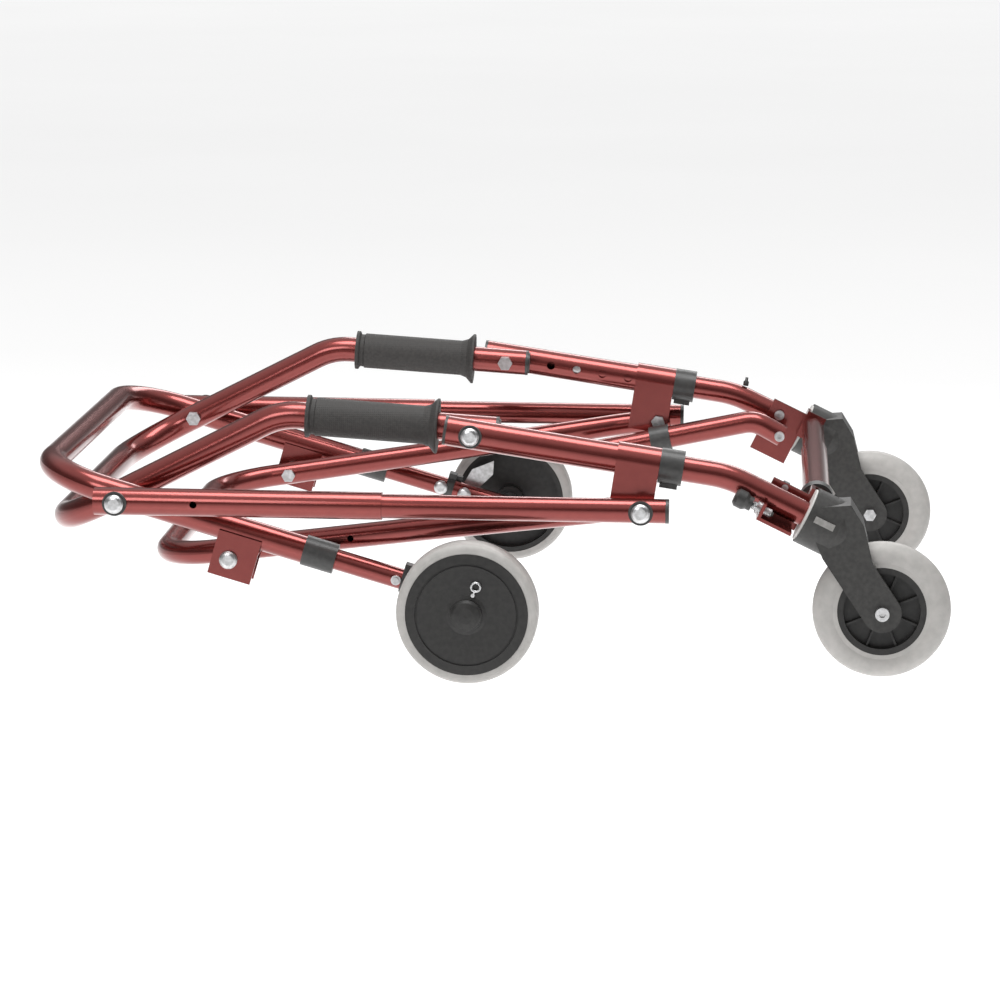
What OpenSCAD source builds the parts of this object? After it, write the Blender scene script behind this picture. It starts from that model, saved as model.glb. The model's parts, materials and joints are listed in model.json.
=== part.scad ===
// Folding four-wheeled walking frame, stored folded and standing on its four wheels.
// X runs from the rear cross tubes to the casters, Y across the frame, Z up from the floor.
// Sub-parts are drawn on the left side (positive Y) and mirrored for the right side.

/* [Frame] */

// Distance between the centre lines of the two handles
handle_spread = 428; // [388:4:468]
// Wall of the bent tubes
tube_wall = 1.5; // [1.2:0.1:1.8]

/* [Grips] */

// Outside diameter of the hand grips
grip_diameter = 35; // [32:1:38]
// Length of the hand grips
grip_length = 120; // [100:5:120]

/* [Wheels] */

// Ribs on each face of a caster hub
rib_count = 8; // [5:1:10]

/* [Hidden] */

$fn = 48;

red = [0.55, 0.09, 0.08];
black = [0.07, 0.07, 0.07];
grey = [0.62, 0.61, 0.59];
steel = [0.75, 0.75, 0.76];

// Layers across the frame
handle_y = handle_spread / 2;
rear_leg_y = handle_y + 26;
leg_y = handle_y + 31;
rail_y = handle_y + 59;
rear_wheel_y = handle_y + 58.5;
stay_y = handle_y - 6;
link_y = handle_y - 11;

// Pivots in the side view, as [x, z]
rear_pivot = [-332, 157];
upper_pivot = [-14, 217];
link_pivot = [-234, 101];
saddle_pivot = [140, 154];
rear_axle = [-14, 63.5];
caster_axle = [356, 62];
cup_mouth = [287.2, 147.5];
cross_at = [296.95, 151.98];

// Slopes below the horizontal, in degrees
grip_slope = 3.814;
leg_slope = 8.7;
cup_slope = 26;
rear_leg_slope = 16.386;
rail_slope = 0.364;
stay_slope = -11.64;

bend_lap = 0.5;
bend_swell = 0.08;

handle_tube = 25;
leg_tube = 27;
extension_tube = 23;
rail_tube = 22;
sleeve_tube = 25;
lower_tube = 22;
rear_extension_tube = 19;
running = 0.16;
bolt = 8;
bolt_bore = bolt + running;
hole_pitch = 26.5;
first_hole = 18.5;
button_station = first_hole + 2 * hole_pitch;
rail_pivot = 472.01;

// Paths of the bent tubes, left side first
handle_half = [
  [6, handle_y, 215.67], [-190.4, handle_y, 228.77], [-398, handle_y, 123.5]
];
rear_half = [
  [-150, rear_leg_y, 103.5], [-405.5, rear_leg_y, 178.62]
];
lower_half = [
  [151, leg_y, 155.56], [95, leg_y, 147.62], [-60, handle_y + 7.6, 125.66],
  [-305, handle_y - 18.6, 90.94]
];
extension_path = [
  [40.96, leg_y, 208.59], [217.3, leg_y, 181.6], [285.76, leg_y, 148.2]
];
stay_path = [
  [75, stay_y, 126.2], [238, stay_y, 159.8], [266, stay_y, 144.4]
];

function flipped(p) = [p[0], -p[1], p[2]];
function closed_path(half) = concat(half, [for (i = [len(half) - 1 : -1 : 0]) flipped(half[i])]);
function unit(v) = v / norm(v);
function before(p, i) = unit(p[i] - p[i - 1]);
function after(p, i) = unit(p[i + 1] - p[i]);
function turn(p, i) = acos(before(p, i) * after(p, i));
function setback(p, i, bend) = (i == 0 || i == len(p) - 1) ? 0 : bend * tan(turn(p, i) / 2);

module both_sides() {
  children();
  mirror([0, 1, 0]) children();
}

module on_side(side) {
  if (side > 0) children();
  else mirror([0, 1, 0]) children();
}

// Places its child in a frame whose X axis slopes down by the given angle
module sloped(at, y, slope) {
  translate([at[0], y, at[1]]) rotate([0, slope, 0]) children();
}

// Cylinder along Y from y_from to y_to
module crosswise(x, z, y_from, y_to, diameter) {
  translate([x, y_to, z]) rotate([90, 0, 0]) cylinder(h = y_to - y_from, d = diameter);
}

// Hexagon along Y from y_from to y_to
module hexagon(x, z, y_from, y_to, diameter) {
  translate([x, y_to, z]) rotate([90, 0, 0]) cylinder(h = y_to - y_from, d = diameter, $fn = 6);
}

// Cylinder along X from x_from to x_to
module lengthwise(x_from, x_to, diameter) {
  translate([x_from, 0, 0]) rotate([0, 90, 0]) cylinder(h = x_to - x_from, d = diameter);
}

// The same, beside the X axis
module lengthwise_at(x_from, x_to, y, z, diameter) {
  translate([0, y, z]) lengthwise(x_from, x_to, diameter);
}

// Solid round bar along a path, bent at each inner point. The bends are a hair thicker than
// the straight runs, and the runs reach a little way into them.
module bent_bar(p, diameter, bend) {
  for (i = [0 : len(p) - 2]) {
    lap_in = i == 0 ? 0 : bend_lap;
    lap_out = i == len(p) - 2 ? 0 : bend_lap;
    start = p[i] + after(p, i) * (setback(p, i, bend) - lap_in);
    stop = p[i + 1] - after(p, i) * (setback(p, i + 1, bend) - lap_out);
    run = stop - start;
    translate(start) rotate([0, acos(run[2] / norm(run)), atan2(run[1], run[0])])
      cylinder(h = norm(run), d = diameter);
  }
  for (i = [1 : len(p) - 2]) {
    d1 = before(p, i);
    d2 = after(p, i);
    n = unit(d2 - (d1 * d2) * d1);
    w = cross(-n, d1);
    c = p[i] - d1 * setback(p, i, bend) + n * bend;
    multmatrix([
      [-n[0], d1[0], w[0], c[0]],
      [-n[1], d1[1], w[1], c[1]],
      [-n[2], d1[2], w[2], c[2]],
      [0, 0, 0, 1]
    ]) rotate_extrude(angle = turn(p, i)) translate([bend, 0]) circle(d = diameter + bend_swell);
  }
}

module bent_tube(p, diameter, wall, bend) {
  difference() {
    bent_bar(p, diameter, bend);
    bent_bar(p, diameter - 2 * wall, bend);
  }
}

// Bolt head with a rounded edge, on the face at y, pointing to larger y
module bolt_head(x, z, y, diameter, height) {
  translate([x, y, z]) rotate([-90, 0, 0]) rotate_extrude() polygon([
    [0, 0], [diameter / 2, 0], [diameter / 2, height * 0.55],
    [diameter * 0.42, height * 0.85], [diameter * 0.3, height], [0, height]
  ]);
}

module handle_hoop() {
  color(red) difference() {
    bent_tube(closed_path(handle_half), handle_tube, tube_wall, 65);
    both_sides() {
      crosswise(rear_pivot[0], rear_pivot[1], handle_y - 15, handle_y + 15, bolt + 0.1);
      crosswise(upper_pivot[0], upper_pivot[1], handle_y - 15, handle_y + 15, bolt + 0.1);
    }
  }
}

module grip(side) {
  body = grip_diameter / 2;
  color(black) on_side(side) sloped(upper_pivot, handle_y, grip_slope)
    translate([-152.5, 0, 0]) rotate([0, 90, 0]) rotate_extrude() polygon([
      [12.55, 0], [body + 1.8, 0], [body + 1.8, 3], [body - 1.2, 4.5], [body - 1.2, 8],
      [body, 9], [body, grip_length - 13], [body + 2, grip_length - 7],
      [25, grip_length - 1.8], [25, grip_length], [12.55, grip_length]
    ]);
}

module handle_plugs() {
  color(black) both_sides() sloped(upper_pivot, handle_y, grip_slope) {
    lengthwise(8, 20.1, handle_tube - 2 * tube_wall - 0.1);
    lengthwise(20.1, 22.6, handle_tube);
    lengthwise(22.6, 24, handle_tube - 4);
  }
}

module pivot_bolts() {
  color(steel) both_sides() {
    crosswise(upper_pivot[0], upper_pivot[1], handle_y - 15, handle_y + 46.8, bolt);
    bolt_head(upper_pivot[0], upper_pivot[1], handle_y + 46.8, 16.4, 4.6);
    hexagon(upper_pivot[0], upper_pivot[1], handle_y - 18, handle_y - 12.8, 15);
    crosswise(rear_pivot[0], rear_pivot[1], handle_y - 15, handle_y + 73.6, bolt);
    bolt_head(rear_pivot[0], rear_pivot[1], handle_y + 73.6, 17, 5);
    hexagon(rear_pivot[0], rear_pivot[1], handle_y - 18, handle_y - 12.8, 15);
  }
}

module pivot_washers() {
  color(black) both_sides() difference() {
    union() {
      crosswise(upper_pivot[0], upper_pivot[1], handle_y + 44.8, handle_y + 46.7, 21);
      crosswise(upper_pivot[0], upper_pivot[1], handle_y + 12.7, handle_y + 17.2, 16);
      crosswise(rear_pivot[0], rear_pivot[1], handle_y + 71.8, handle_y + 73.5, 22);
      crosswise(rear_pivot[0], rear_pivot[1], handle_y + 38.8, handle_y + 46.2, 16);
    }
    crosswise(upper_pivot[0], upper_pivot[1], handle_y, handle_y + 60, bolt + 0.1);
    crosswise(rear_pivot[0], rear_pivot[1], handle_y, handle_y + 80, bolt + 0.1);
  }
}

module front_leg(side) {
  color(red) on_side(side) sloped(upper_pivot, leg_y, leg_slope) difference() {
    lengthwise(-22, 186, leg_tube);
    lengthwise(-23, 187, extension_tube + 0.14);
    crosswise(0, 0, -15, 15, bolt_bore);
    for (i = [0 : 4]) crosswise(first_hole + i * hole_pitch, 0, -15, 0, bolt_bore);
  }
}

// Clevis that wraps the leg and holds the side rail's pivot
module saddle(side) {
  color(red) on_side(side) sloped(upper_pivot, leg_y, leg_slope) difference() {
    union() {
      translate([132.5, -15.5, -50]) cube([39, 31, 50]);
      lengthwise(132.5, 171.5, 31);
    }
    translate([132, -13.55, -51]) cube([40, 27.1, 51]);
    lengthwise(132, 172, leg_tube + 0.1);
    crosswise(161.8, -39, -16, 16, bolt + 0.2);
  }
}

module saddle_nuts() {
  color(steel) both_sides() sloped(upper_pivot, leg_y, leg_slope) {
    hexagon(161.8, -39, -20.8, -15.55, 14);
    crosswise(161.8, -39, -21.8, -13.6, bolt);
  }
}

module front_collars() {
  color(black) both_sides() sloped(upper_pivot, leg_y, leg_slope) difference() {
    union() {
      lengthwise(171.7, 193, 32);
      translate([174, -6, -19]) cube([16, 12, 8]);
    }
    lengthwise(171, 186.2, leg_tube + 0.1);
    lengthwise(186, 194, extension_tube + 0.14);
  }
}

module leg_plugs() {
  color(black) both_sides() sloped(upper_pivot, leg_y, leg_slope) {
    lengthwise(-24.6, -22.05, leg_tube);
    lengthwise(-22.1, -12, extension_tube);
  }
}

module front_extension(side) {
  color(red) on_side(side) difference() {
    bent_tube(extension_path, extension_tube, tube_wall, 100);
    sloped(upper_pivot, leg_y, leg_slope) crosswise(button_station, 0, -15, 0, bolt_bore);
    sloped(cup_mouth, leg_y, cup_slope) crosswise(-28.4, 3, -15, 0, 6.1);
  }
}

// Plate beside the bent end of an extension, with a lug for the cross tube
module bracket(side) {
  low = side > 0 ? -40 : -20;
  color(red) on_side(side) sloped(cup_mouth, leg_y, cup_slope) {
    difference() {
      translate([-40, -15.4, low]) cube([38, 3.4, 15.5 - low]);
      crosswise(-28.4, 3, -16, -11, 6.1);
      if (side > 0) crosswise(-20.8, -11.8, -16, -11, 6.1);
      else crosswise(-27, 11.5, -16, -11, 6.1);
    }
    translate([-5, -32, -6]) cube([3.5, 20, 28]);
    translate([-5, -32, -6]) cube([20, 3, 28]);
    if (side < 0) {
      translate([-40, -15.4, -20]) cube([34, 40.4, 3]);
      difference() {
        translate([-40, 12.5, -20]) cube([3, 12.5, 16]);
        lengthwise_at(-41, -36, 18.5, -10.5, 8.1);
      }
    }
  }
}

module bracket_bolts() {
  color(steel) {
    both_sides() sloped(cup_mouth, leg_y, cup_slope) {
      crosswise(-28.4, 3, -18, -1, 6);
      socket_head(-28.4, 3, -15.5, 10);
    }
    on_side(1) sloped(cup_mouth, leg_y, cup_slope) {
      crosswise(-20.8, -11.8, -49, -12.2, 6);
      socket_head(-20.8, -11.8, -48.2, 10);
    }
    on_side(-1) sloped(cup_mouth, leg_y, cup_slope) {
      crosswise(-27, 11.5, -22, -10, 6);
      hexagon(-27, 11.5, -20, -15.5, 11);
    }
  }
}

// Socket screw head on the face at y, pointing to smaller y
module socket_head(x, z, y, diameter) {
  difference() {
    crosswise(x, z, y - 5, y, diameter);
    hexagon(x, z, y - 5.1, y - 2.5, 5);
  }
}

// Cap in the mouth of the caster cup, with the bearing for the fork's stem
module caster_caps() {
  color(grey) both_sides() sloped(cup_mouth, leg_y, cup_slope) difference() {
    union() {
      lengthwise(-1.5, 4.4, 49);
      lengthwise(-22, -1, extension_tube - 2 * tube_wall - 0.1);
    }
    lengthwise(-23, 5, 10.16);
  }
}

module cross_sleeve() {
  color(red) difference() {
    crosswise(cross_at[0], cross_at[1], -leg_y + 32.05, 70, 25);
    crosswise(cross_at[0], cross_at[1], -leg_y + 31, 71, 22.1);
  }
}

module cross_tube() {
  color(red) difference() {
    crosswise(cross_at[0], cross_at[1], -20, leg_y - 32.05, 22);
    crosswise(cross_at[0], cross_at[1], -21, leg_y - 31, 19);
  }
}

module tube_bands() {
  color(black) {
    difference() {
      crosswise(cross_at[0], cross_at[1], -leg_y + 46, -leg_y + 64, 31);
      crosswise(cross_at[0], cross_at[1], -leg_y + 45, -leg_y + 65, 25.1);
    }
    sloped([143.1, 140.24], stay_y, stay_slope) difference() {
      lengthwise(-10, 10, 27);
      lengthwise(-11, 11, 22.1);
    }
    on_side(1) sloped([75, 126.2], stay_y, stay_slope) {
      lengthwise(-2.5, -0.05, 22);
      lengthwise(-0.1, 10, 22 - 2 * tube_wall - 0.1);
    }
  }
}

module stay_tube() {
  color(red) difference() {
    bent_tube(stay_path, 22, tube_wall, 30);
    sloped(cup_mouth, stay_y, cup_slope) crosswise(-20.8, -11.8, -12, 12, 6.1);
  }
}

module plunger_barrel() {
  color(steel) on_side(-1) sloped(cup_mouth, leg_y, cup_slope) difference() {
    union() {
      lengthwise_at(-48, -30, 18.5, -10.5, 8);
      lengthwise_at(-44.5, -40.1, 18.5, -10.5, 12);
    }
    lengthwise_at(-49, -29, 18.5, -10.5, 4.16);
  }
}

module plunger_knob() {
  color(black) on_side(-1) sloped(cup_mouth, leg_y, cup_slope) translate([0, 18.5, -10.5]) {
    lengthwise(-60, -28, 4);
    translate([-66, 0, 0]) rotate([0, 90, 0]) rotate_extrude() polygon([
      [0, 0], [6, 0], [8.5, 2.5], [8.5, 10], [6.5, 13], [6.5, 17], [0, 17]
    ]);
  }
}

module snap_button(side) {
  color(steel) on_side(side) sloped(upper_pivot, leg_y, leg_slope) intersection() {
    crosswise(button_station, 0, -13, -4, bolt);
    lengthwise(button_station - 5, button_station + 5, extension_tube - 0.1);
  }
}

// Outline of the fork in the side view
fork_outline = [
  [370.4, 71.8], [347, 107], [343, 124], [338.6, 141.5], [327, 160.2], [300, 158],
  [295, 128], [302.2, 111.2], [341.6, 52.2]
];

module caster_fork(side) {
  color(black) on_side(side) difference() {
    union() {
      translate([0, leg_y + 22, 0]) rotate([90, 0, 0]) linear_extrude(44) polygon(fork_outline);
      crosswise(caster_axle[0], caster_axle[1], leg_y - 22, leg_y + 22, 34.8);
      sloped(cup_mouth, leg_y, cup_slope) {
        lengthwise(0, 30, 53.2);
        translate([30, 0, 0]) rotate([0, 90, 0]) cylinder(h = 9, d1 = 53.2, d2 = 44);
      }
    }
    crosswise(caster_axle[0], caster_axle[1], leg_y - 15.5, leg_y + 15.5, 132);
    crosswise(caster_axle[0], caster_axle[1], leg_y - 30, leg_y + 30, 8.1);
    sloped(cup_mouth, leg_y, cup_slope) difference() {
      lengthwise(-1, 5.2, 49.8);
      lengthwise(-2, 6, 10);
    }
  }
  color(black) on_side(side) sloped(cup_mouth, leg_y, cup_slope) lengthwise(-18, 5.4, 10);
}

module caster_axle_bolt(side) {
  color(steel) on_side(side) {
    crosswise(caster_axle[0], caster_axle[1], leg_y - 24, leg_y + 23, 8);
    hexagon(caster_axle[0], caster_axle[1], leg_y - 27, leg_y - 22.05, 13);
    difference() {
      crosswise(caster_axle[0], caster_axle[1], leg_y + 22.05, leg_y + 26.5, 12.6);
      hexagon(caster_axle[0], caster_axle[1], leg_y + 24, leg_y + 27, 6);
    }
  }
}

module caster_tyre(side) {
  color(grey) on_side(side) translate([caster_axle[0], leg_y, caster_axle[1]])
    rotate([-90, 0, 0]) rotate_extrude() union() {
      translate([40.05, -12]) square([12, 24]);
      intersection() {
        translate([49, 0]) circle(r = 13, $fn = 64);
        translate([40.05, -13]) square([30, 26]);
      }
    }
}

module caster_hub(side) {
  color(black) on_side(side) translate([caster_axle[0], leg_y, caster_axle[1]])
    rotate([-90, 0, 0]) difference() {
      union() {
        rotate_extrude() polygon([
          [3, -14], [10, -14], [10, -4], [34.5, -4], [34.5, -12], [40, -12],
          [40, 12], [34.5, 12], [34.5, 4], [10, 4], [10, 14], [3, 14]
        ]);
        for (i = [0 : rib_count - 1]) rotate([0, 0, (i + 0.5) * 360 / rib_count])
          translate([9, -1, -8.5]) cube([26, 2, 17]);
      }
      translate([0, 0, -15]) cylinder(h = 30, d = 8.16);
    }
}

module rear_leg_hoop() {
  color(red) difference() {
    bent_tube(closed_path(rear_half), handle_tube, tube_wall, 62);
    both_sides()
      crosswise(rear_pivot[0], rear_pivot[1], rear_leg_y - 15, rear_leg_y + 15, bolt_bore);
  }
}

// Plates beside each rear leg, joined by a web under the tube
module link_brackets() {
  color(red) both_sides() sloped(rear_axle, rear_leg_y, rear_leg_slope) difference() {
    union() {
      translate([-237, 12.6, -43]) cube([40, 2, 41]);
      translate([-237, -14.6, -43]) cube([40, 2, 41]);
      translate([-237, -13, -15]) cube([40, 26, 2.2]);
    }
    lengthwise(-238, -196, handle_tube + 0.1);
    crosswise(-221.65, -26.1, -16, 16, bolt + 0.1);
  }
}

module link_bolts() {
  x = link_pivot[0];
  z = link_pivot[1];
  color(steel) both_sides() {
    crosswise(x, z, handle_y - 24.5, handle_y + 40.7, bolt);
    bolt_head(x, z, handle_y + 40.7, 16.4, 4.4);
    hexagon(x, z, handle_y - 28, handle_y - 23.2, 14);
  }
}

module link_spacers() {
  x = link_pivot[0];
  z = link_pivot[1];
  color(black) both_sides() difference() {
    crosswise(x, z, handle_y + 1.2, handle_y + 11.35, 17);
    crosswise(x, z, handle_y, handle_y + 12, bolt + 0.1);
  }
}

module rear_collars() {
  color(black) both_sides() sloped(rear_axle, rear_leg_y, rear_leg_slope) difference() {
    lengthwise(-159, -129, 28);
    lengthwise(-160, -141.6, handle_tube + 0.1);
    lengthwise(-142, -128, rear_extension_tube + 0.14);
  }
}

module rear_extension(side) {
  color(red) on_side(side) sloped(rear_axle, rear_leg_y, rear_leg_slope) difference() {
    union() {
      lengthwise(-225, 25, rear_extension_tube);
      lengthwise(-225, -215, handle_tube - 2 * tube_wall - 0.14);
    }
    lengthwise(-226, 26, rear_extension_tube - 3);
    crosswise(0, 0, -15, 15, 10.1);
    crosswise(-71, 0, -15, 15, 6.1);
    crosswise(-46, 0, -15, 15, 6.1);
  }
}

module rear_clip(side) {
  color(black) on_side(side) sloped(rear_axle, rear_leg_y, rear_leg_slope) difference() {
    union() {
      lengthwise(-66.5, -58.5, 23.5);
      translate([-66.5, -5, 6]) cube([8, 14, 10]);
      translate([-66.5, 2, 6]) cube([14, 7, 8]);
    }
    lengthwise(-67, -52, rear_extension_tube + 0.1);
  }
}

// Axle, clip bolts and pawl plate on a rear extension
module rear_hardware(side) {
  color(steel) on_side(side) sloped(rear_axle, rear_leg_y, rear_leg_slope) {
    crosswise(0, 0, -12, 65.5, 10);
    crosswise(0, 0, 9.6, 31.8, 16);
    bolt_head_inward(0, 0, -9.6, 17.8, 4.6);
    for (x = [-71, -46]) {
      crosswise(x, 0, -12, 14.5, 6);
      bolt_head_inward(x, 0, -9.6, 13.8, 4.2);
      crosswise(x, 0, 9.6, 12.8, 9);
    }
    translate([0, 14.4, 0]) rotate([90, 0, 0]) linear_extrude(1.5) polygon([
      [-53, -4], [-41, -6], [-24, 24], [-27, 38], [-46, 23]
    ]);
  }
}

module bolt_head_inward(x, z, y, diameter, height) {
  mirror([0, 1, 0]) bolt_head(x, z, -y, diameter, height);
}

module rear_tyre(side) {
  color(grey) on_side(side) translate([rear_axle[0], rear_wheel_y, rear_axle[1]])
    rotate([-90, 0, 0]) rotate_extrude() intersection() {
      union() {
        translate([55.05, 1.5]) square([3.45, 30]);
        translate([55.05, 6.5]) square([8.45, 20]);
        translate([58.5, 6.5]) circle(r = 5, $fn = 48);
        translate([58.5, 26.5]) circle(r = 5, $fn = 48);
      }
      translate([55.05, 0]) square([9, 33]);
    }
}

module rear_hub(side) {
  color(black) on_side(side) translate([rear_axle[0], rear_wheel_y, rear_axle[1]])
    difference() {
      rotate([-90, 0, 0]) rotate_extrude() polygon([
        [5.08, 0], [14, 0], [14, 13], [50, 13], [50, 2], [55, 2], [55, 32], [46.5, 32.5],
        [46.5, 31], [44.5, 31], [44.5, 32.5], [18, 32.5], [14.6, 33.4], [14.2, 36],
        [12, 38], [7, 39.2], [0, 39.6], [0, 34], [5.08, 34]
      ]);
      crosswise(6, 18.5, 20, 40, 3.66);
    }
}

// Spring pin of the one-way ratchet, with its pull ring lying on the hub
module ratchet_pin(side) {
  color(steel) on_side(side) translate([rear_axle[0], rear_wheel_y, rear_axle[1]]) {
    crosswise(6, 18.5, 22, 36, 3.5);
    translate([6, 34.8, 18.5]) rotate([0, 20, 0]) translate([0, 0, 1]) cylinder(h = 4.2, d = 2);
    translate([8.6, 34.8, 25.9]) rotate([-90, 0, 0])
      rotate_extrude() translate([4, 0]) circle(r = 1.1, $fn = 24);
  }
}

module lower_hoop() {
  color(red) difference() {
    bent_tube(closed_path(lower_half), lower_tube, tube_wall, 60);
    both_sides() {
      crosswise(link_pivot[0], link_pivot[1], link_y - 16, link_y + 16, bolt_bore);
      crosswise(saddle_pivot[0], saddle_pivot[1], leg_y - 16, leg_y + 16, bolt + 0.4);
      crosswise(-126, 116.3, handle_y, handle_y + 14, 6);
    }
  }
}

module side_sleeve(side) {
  color(red) on_side(side) sloped(rear_pivot, rail_y, rail_slope) difference() {
    lengthwise(-20, 240, sleeve_tube);
    lengthwise(-18, 241, rail_tube + 0.14);
    crosswise(0, 0, -15, 15, bolt_bore);
    crosswise(71, 0, 0, 15, 6.5);
  }
}

module side_rail(side) {
  color(red) on_side(side) sloped(rear_pivot, rail_y, rail_slope) difference() {
    lengthwise(137, 494, rail_tube);
    lengthwise(136, 495, rail_tube - 3);
    crosswise(rail_pivot, 0, -15, 15, bolt + 0.1);
  }
}

// Pivot bolt with washer at the end of a side rail, and the end cap
module rail_trim(side) {
  on_side(side) sloped(rear_pivot, rail_y, rail_slope) {
    color(black) {
      lengthwise(484, 494.1, rail_tube - 3.1);
      lengthwise(494.05, 497, rail_tube);
      difference() {
        crosswise(rail_pivot, 0, 11.05, 12.95, 22);
        crosswise(rail_pivot, 0, 10, 14, bolt + 0.1);
      }
    }
    color(steel) {
      crosswise(rail_pivot, 0, -11.6, 13, bolt);
      bolt_head(rail_pivot, 0, 13, 17, 5);
    }
  }
}

handle_hoop();
grip(-1);  // grip_right
grip(1);  // grip_left
handle_plugs();
pivot_bolts();
pivot_washers();
front_leg(-1);  // front_leg_right
front_leg(1);  // front_leg_left
saddle(-1);  // saddle_right
saddle(1);  // saddle_left
saddle_nuts();
front_collars();
leg_plugs();
front_extension(-1);  // front_extension_right
front_extension(1);  // front_extension_left
bracket(-1);  // bracket_right
bracket(1);  // bracket_left
bracket_bolts();
caster_caps();
cross_sleeve();
cross_tube();
tube_bands();
stay_tube();
plunger_barrel();
plunger_knob();
snap_button(-1);  // snap_button_right
snap_button(1);  // snap_button_left
caster_fork(-1);  // caster_fork_right
caster_fork(1);  // caster_fork_left
caster_axle_bolt(-1);  // caster_axle_right
caster_axle_bolt(1);  // caster_axle_left
caster_tyre(-1);  // caster_tyre_right
caster_tyre(1);  // caster_tyre_left
caster_hub(-1);  // caster_hub_right
caster_hub(1);  // caster_hub_left
rear_leg_hoop();
link_brackets();
link_bolts();
link_spacers();
rear_collars();
rear_extension(-1);  // rear_extension_right
rear_extension(1);  // rear_extension_left
rear_clip(-1);  // rear_clip_right
rear_clip(1);  // rear_clip_left
rear_hardware(-1);  // rear_hardware_right
rear_hardware(1);  // rear_hardware_left
rear_tyre(-1);  // rear_tyre_right
rear_tyre(1);  // rear_tyre_left
rear_hub(-1);  // rear_hub_right
rear_hub(1);  // rear_hub_left
ratchet_pin(-1);  // ratchet_pin_right
ratchet_pin(1);  // ratchet_pin_left
lower_hoop();
side_sleeve(-1);  // side_sleeve_right
side_sleeve(1);  // side_sleeve_left
side_rail(-1);  // side_rail_right
side_rail(1);  // side_rail_left
rail_trim(-1);  // rail_trim_right
rail_trim(1);  // rail_trim_left
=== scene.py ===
"""Looks of the folded walking frame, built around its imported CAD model."""

import json
import math

import bpy
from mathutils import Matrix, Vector


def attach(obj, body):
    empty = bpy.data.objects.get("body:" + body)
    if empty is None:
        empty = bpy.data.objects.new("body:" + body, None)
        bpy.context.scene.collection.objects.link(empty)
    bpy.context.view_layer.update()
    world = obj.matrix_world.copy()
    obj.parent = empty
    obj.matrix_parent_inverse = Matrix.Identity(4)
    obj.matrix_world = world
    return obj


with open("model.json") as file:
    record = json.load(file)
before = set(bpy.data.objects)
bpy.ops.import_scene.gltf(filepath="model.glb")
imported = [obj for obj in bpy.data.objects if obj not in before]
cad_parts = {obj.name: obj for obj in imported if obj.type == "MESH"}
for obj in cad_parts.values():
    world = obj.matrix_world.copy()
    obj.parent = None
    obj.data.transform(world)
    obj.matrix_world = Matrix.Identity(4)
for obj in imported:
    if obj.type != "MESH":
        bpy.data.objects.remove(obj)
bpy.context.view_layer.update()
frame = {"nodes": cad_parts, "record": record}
nodes = frame["nodes"]
scene = bpy.context.scene


def socket(node, name, value):
    if name in node.inputs:
        node.inputs[name].default_value = value


def new_material(name, metallic=0.0, coat=0.0, coat_rough=0.1, specular=0.5):
    """A Principled material, with its node tree, its shader and its object coordinates."""
    mat = bpy.data.materials.new(name)
    mat.use_nodes = True
    tree = mat.node_tree
    shader = tree.nodes["Principled BSDF"]
    socket(shader, "Metallic", metallic)
    socket(shader, "Coat Weight", coat)
    socket(shader, "Coat Roughness", coat_rough)
    socket(shader, "Specular IOR Level", specular)
    coords = tree.nodes.new("ShaderNodeTexCoord")
    return mat, tree, shader, coords.outputs["Object"]


def noise(tree, coords, scale, detail=3.0):
    node = tree.nodes.new("ShaderNodeTexNoise")
    node.inputs["Scale"].default_value = scale
    node.inputs["Detail"].default_value = detail
    tree.links.new(coords, node.inputs["Vector"])
    return node.outputs["Fac"]


def mix_colour(tree, factor, low, high, lo=0.35, hi=0.65):
    ramp = tree.nodes.new("ShaderNodeValToRGB")
    ramp.color_ramp.elements[0].position = lo
    ramp.color_ramp.elements[0].color = (*low, 1)
    ramp.color_ramp.elements[1].position = hi
    ramp.color_ramp.elements[1].color = (*high, 1)
    tree.links.new(factor, ramp.inputs["Fac"])
    return ramp.outputs["Color"]


def map_value(tree, factor, low, high):
    node = tree.nodes.new("ShaderNodeMapRange")
    node.inputs["From Min"].default_value = 0.3
    node.inputs["From Max"].default_value = 0.7
    node.inputs["To Min"].default_value = low
    node.inputs["To Max"].default_value = high
    tree.links.new(factor, node.inputs["Value"])
    return node.outputs["Result"]


def bump(tree, shader, height, strength, distance):
    node = tree.nodes.new("ShaderNodeBump")
    node.inputs["Strength"].default_value = strength
    node.inputs["Distance"].default_value = distance
    tree.links.new(height, node.inputs["Height"])
    tree.links.new(node.outputs["Normal"], shader.inputs["Normal"])


GRAIN_DEPTH = 0.0004


def plain(name, low, high, rough, scale, bump_scale, bump_strength, **finish):
    """A material with mottled colour, slightly varied roughness and a fine bump."""
    mat, tree, shader, coords = new_material(name, **finish)
    mottling = noise(tree, coords, scale)
    tree.links.new(mix_colour(tree, mottling, low, high), shader.inputs["Base Color"])
    smears = noise(tree, coords, scale * 0.4, 4.0)
    tree.links.new(map_value(tree, smears, rough * 0.96, rough * 1.04), shader.inputs["Roughness"])
    grain = noise(tree, coords, bump_scale, 2.0)
    bump(tree, shader, grain, bump_strength, GRAIN_DEPTH)
    return mat


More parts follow.
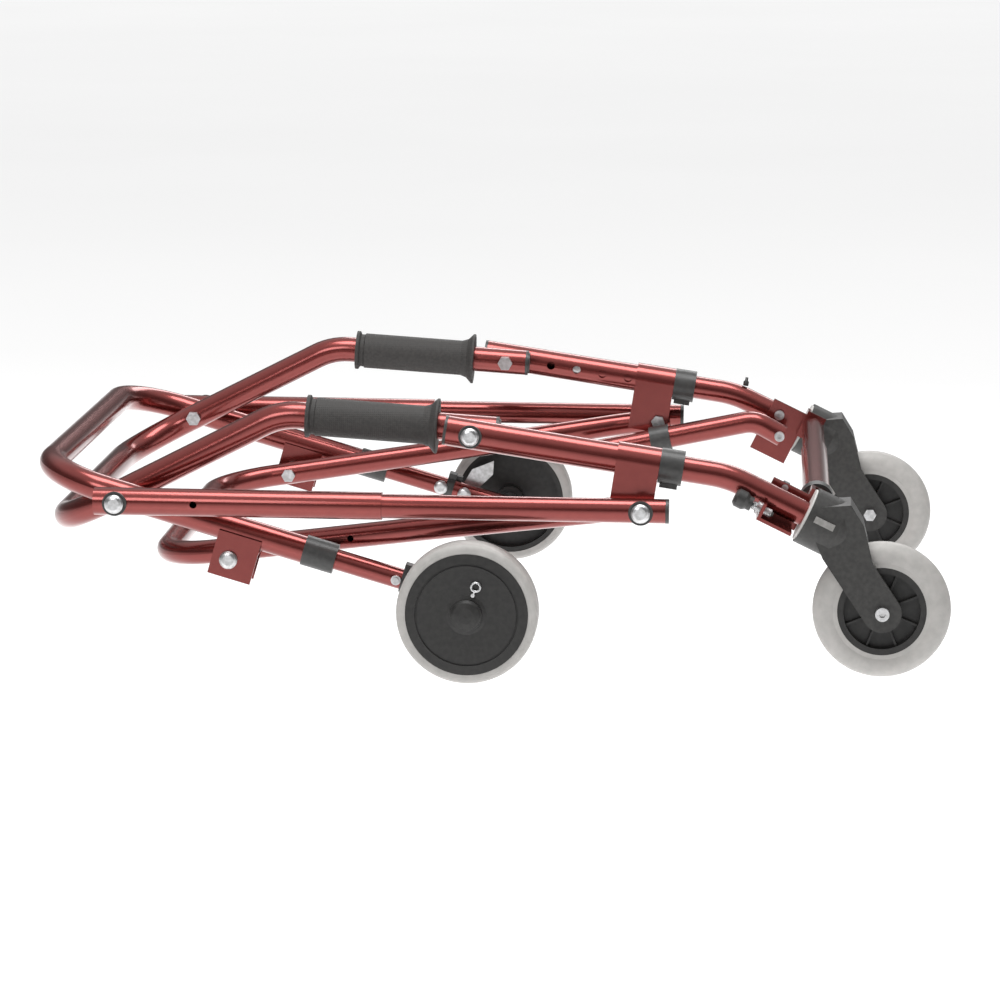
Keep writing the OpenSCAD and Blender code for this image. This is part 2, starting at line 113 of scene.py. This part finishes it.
def grip_material():
    """Rubber with rows of small studs, from two crossed waves."""
    mat, tree, shader, coords = new_material("grip", specular=0.35)
    mottling = noise(tree, coords, 400)
    colour = mix_colour(tree, mottling, (0.032, 0.0305, 0.029), (0.050, 0.047, 0.045))
    tree.links.new(colour, shader.inputs["Base Color"])
    tree.links.new(map_value(tree, mottling, 0.55, 0.75), shader.inputs["Roughness"])
    bands = []
    for axis in ("X", "Z"):
        wave = tree.nodes.new("ShaderNodeTexWave")
        wave.bands_direction = axis
        wave.inputs["Scale"].default_value = 170
        tree.links.new(coords, wave.inputs["Vector"])
        bands.append(wave.outputs["Fac"])
    studs = tree.nodes.new("ShaderNodeMath")
    studs.operation = "MULTIPLY"
    tree.links.new(bands[0], studs.inputs[0])
    tree.links.new(bands[1], studs.inputs[1])
    bump(tree, shader, studs.outputs["Value"], 0.35, 0.0005)
    return mat


def thread_material():
    """Bright metal with turns of thread along the X axis."""
    mat, tree, shader, coords = new_material("thread", metallic=1.0)
    mottling = noise(tree, coords, 300)
    colour = mix_colour(tree, mottling, (0.5, 0.5, 0.5), (0.75, 0.75, 0.76))
    tree.links.new(colour, shader.inputs["Base Color"])
    tree.links.new(map_value(tree, mottling, 0.25, 0.4), shader.inputs["Roughness"])
    wave = tree.nodes.new("ShaderNodeTexWave")
    wave.bands_direction = "X"
    wave.inputs["Scale"].default_value = 220
    tree.links.new(coords, wave.inputs["Vector"])
    bump(tree, shader, wave.outputs["Fac"], 0.9, 0.0008)
    return mat


LACQUER = plain("lacquer", (0.190, 0.032, 0.028), (0.202, 0.036, 0.031), 0.24, 160, 3000, 0.002,
                metallic=0.85, coat=0.5, coat_rough=0.12)
STEEL = plain("steel", (0.42, 0.42, 0.42), (0.60, 0.60, 0.61), 0.32, 260, 900, 0.12, metallic=1.0)
TYRE = plain("tyre", (0.36, 0.35, 0.335), (0.41, 0.395, 0.38), 0.5, 120, 1200, 0.08, specular=0.4)
HUB = plain("hub", (0.016, 0.0155, 0.015), (0.024, 0.023, 0.022), 0.42, 200, 1600, 0.1, specular=0.35)
FORK = plain("fork", (0.026, 0.025, 0.024), (0.038, 0.037, 0.035), 0.48, 250, 1600, 0.2, specular=0.4)
MOULDING = plain("moulding", (0.022, 0.022, 0.021), (0.034, 0.033, 0.032), 0.4, 220, 1500, 0.15)
CAP = plain("cap", (0.55, 0.54, 0.52), (0.66, 0.65, 0.63), 0.45, 150, 1300, 0.1)
BADGE = plain("badge", (0.20, 0.195, 0.185), (0.26, 0.25, 0.24), 0.35, 300, 900, 0.05)
GRIP = grip_material()
THREAD = thread_material()

BY_SLOT = {
    "lacquer": LACQUER, "steel": STEEL, "tyre": TYRE, "hub": HUB, "fork": FORK,
    "moulding": MOULDING, "cap": CAP, "grip": GRIP,
}
slots = {s["node"]: s["material_slot"] for s in frame["record"]["subparts"]}
for name, obj in nodes.items():
    obj.data.materials.clear()
    obj.data.materials.append(THREAD if name == "plunger_barrel" else BY_SLOT[slots[name]])

# Steel bolt head on each rail: the part of the trim that stands outside the black washer
WASHER_FACE = 0.2861
for name in ("rail_trim_right", "rail_trim_left"):
    obj = nodes[name]
    obj.data.materials.append(STEEL)
    for face in obj.data.polygons:
        centre = obj.matrix_world @ face.center
        face.material_index = 1 if abs(centre.y) > WASHER_FACE else 0


def add_mesh(name, verts, faces, mat, body):
    mesh = bpy.data.meshes.new(name)
    mesh.from_pydata(verts, [], faces)
    mesh.materials.append(mat)
    obj = bpy.data.objects.new(name, mesh)
    scene.collection.objects.link(obj)
    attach(obj, body)
    return obj


def lathe(name, at, axis, profile, mat, body, steps=40, ring=False):
    """Turns a profile of (radius, distance along the axis) about an axis through a point.

    A ring joins the end of its profile to the start; anything else is closed by flat ends.
    """
    axis = Vector(axis).normalized()
    side = axis.cross(Vector((0, 0, 1) if abs(axis.z) < 0.9 else (1, 0, 0))).normalized()
    up = axis.cross(side)
    verts, faces = [], []
    for r, h in profile:
        for k in range(steps):
            a = 2 * math.pi * k / steps
            verts.append(Vector(at) + axis * h + (side * math.cos(a) + up * math.sin(a)) * r)
    rows = len(profile)
    for i in range(rows if ring else rows - 1):
        j = (i + 1) % rows
        for k in range(steps):
            n = (k + 1) % steps
            faces.append((i * steps + k, i * steps + n, j * steps + n, j * steps + k))
    if not ring:
        faces.append(tuple(range(steps - 1, -1, -1)))
        faces.append(tuple((rows - 1) * steps + k for k in range(steps)))
    obj = add_mesh(name, verts, faces, mat, body)
    for p in obj.data.polygons:
        p.use_smooth = len(p.vertices) == 4
    return obj


# Caster cups: slope of the stem, the middle of the mouth, and half the spread of the two
CUP = math.radians(26)
CUP_SPREAD = 0.245
CUP_FACE = 0.0266
ALONG = Vector((math.cos(CUP), 0, -math.sin(CUP)))
ABOVE = Vector((math.sin(CUP), 0, math.cos(CUP)))
MOUTH = Vector((0.2872, 0, 0.1475))

# Blank plate on the outside of each caster cup
for side, body in ((-1, "caster_right"), (1, "caster_left")):
    centre = MOUTH + ALONG * 0.016 + Vector((0, side * (CUP_SPREAD + CUP_FACE), 0)) + ABOVE * 0.004
    corners = []
    for w in (-0.0095, 0.0095):
        for u in (-0.003, 0.003):
            for y in (-0.0004, 0.0006):
                corners.append(centre + ALONG * w + ABOVE * u + Vector((0, side * y, 0)))
    add_mesh("badge_" + body, corners, [
        (0, 1, 3, 2), (4, 6, 7, 5), (0, 4, 5, 1), (2, 3, 7, 6), (0, 2, 6, 4), (1, 5, 7, 3)
    ], BADGE, body)

# Small push pin on the far extension
lathe("push_pin", (0.2285, CUP_SPREAD, 0.190), (0.15, 0, 1),
      [(0.0028, 0), (0.0028, 0.004), (0.0016, 0.005), (0.0014, 0.0085)], MOULDING,
      "front_lower", 24)

# Fine ridge where each tyre's moulding halves meet
SEAM_DEPTH = 0.001
SEAM_HEIGHT = 0.00015
for side, body in ((-1, "right"), (1, "left")):
    for kind, at, radius in (
        ("rear", (-0.014, side * 0.289, 0.0635), 0.0635),
        ("caster", (0.356, side * CUP_SPREAD, 0.062), 0.062),
    ):
        wheel = "rear_wheel_" + body if kind == "rear" else "caster_wheel_" + body
        profile = [(radius - SEAM_DEPTH, -0.0006), (radius + SEAM_HEIGHT, -0.0004),
                   (radius + SEAM_HEIGHT, 0.0004), (radius - SEAM_DEPTH, 0.0006)]
        lathe("seam_%s_%s" % (kind, body), at, (0, side, 0), profile, TYRE, wheel, 96, True)


def area_light(name, at, target, size, power, size_y=None):
    data = bpy.data.lights.new(name, "AREA")
    data.energy = power
    data.shape = "RECTANGLE"
    data.size = size
    data.size_y = size_y or size
    obj = bpy.data.objects.new(name, data)
    obj.location = at
    obj.rotation_euler = (Vector(target) - Vector(at)).to_track_quat("-Z", "Y").to_euler()
    scene.collection.objects.link(obj)


area_light("overhead", (0.1, -0.3, 2.2), (0, 0, 0), 1.6, 38, 1.0)
area_light("front", (-0.9, -2.6, 1.5), (0, 0, 0.1), 0.9, 16)
area_light("back", (0.4, 2.6, 1.7), (0, 0, 0.1), 1.8, 22, 0.8)

world = bpy.data.worlds.new("studio")
scene.world = world
world.use_nodes = True
tree = world.node_tree
background = tree.nodes["Background"]
background.inputs["Strength"].default_value = 0.95
coords = tree.nodes.new("ShaderNodeTexCoord")
split = tree.nodes.new("ShaderNodeSeparateXYZ")
ramp = tree.nodes.new("ShaderNodeValToRGB")
tree.links.new(coords.outputs["Generated"], split.inputs["Vector"])
tree.links.new(split.outputs["Z"], ramp.inputs["Fac"])
tree.links.new(ramp.outputs["Color"], background.inputs["Color"])
ramp.color_ramp.elements[0].position = 0.0
ramp.color_ramp.elements[0].color = (0.45, 0.45, 0.45, 1)
ramp.color_ramp.elements[1].position = 0.75
ramp.color_ramp.elements[1].color = (1, 1, 1, 1)
for place, level in ((0.10, 0.12), (0.42, 0.20)):
    stop = ramp.color_ramp.elements.new(place)
    stop.color = (level, level, level, 1)

# The handle hoop is the fixed body, so the legs of the opened walker reach below the folded
# ground level. The floor lies under the lowest of them.
FLOOR_LEVEL = -0.335
FLOOR_REACH = 40
floor_mesh = bpy.data.meshes.new("floor")
corners = [(x * FLOOR_REACH, y * FLOOR_REACH, 0) for x, y in ((-1, -1), (1, -1), (1, 1), (-1, 1))]
floor_mesh.from_pydata(corners, [], [(0, 1, 2, 3)])
floor = bpy.data.objects.new("floor", floor_mesh)
floor.location.z = FLOOR_LEVEL
scene.collection.objects.link(floor)
floor_mat, floor_tree, floor_shader, floor_coords = new_material("floor")
floor_noise = noise(floor_tree, floor_coords, 0.5)
floor_tree.links.new(mix_colour(floor_tree, floor_noise, (0.93, 0.93, 0.93), (0.95, 0.95, 0.95)),
                     floor_shader.inputs["Base Color"])
floor_tree.links.new(map_value(floor_tree, floor_noise, 0.07, 0.09), floor_shader.inputs["Roughness"])
floor_shader.inputs["Emission Color"].default_value = (1, 1, 1, 1)
floor_shader.inputs["Emission Strength"].default_value = 0.55
floor_mesh.materials.append(floor_mat)

camera_data = bpy.data.cameras.new("camera")
camera_data.sensor_width = 36
camera_data.lens = 141.1
camera_data.clip_end = 100
camera = bpy.data.objects.new("camera", camera_data)
camera.location = (0.255, -3.712, 0.787)
azimuth = math.radians(-4.01)
elevation = math.radians(10.27)
look = Vector((math.sin(azimuth) * math.cos(elevation), math.cos(azimuth) * math.cos(elevation),
               -math.sin(elevation)))
camera.rotation_euler = look.to_track_quat("-Z", "Y").to_euler()
scene.collection.objects.link(camera)
scene.camera = camera
scene.view_settings.view_transform = "Standard"
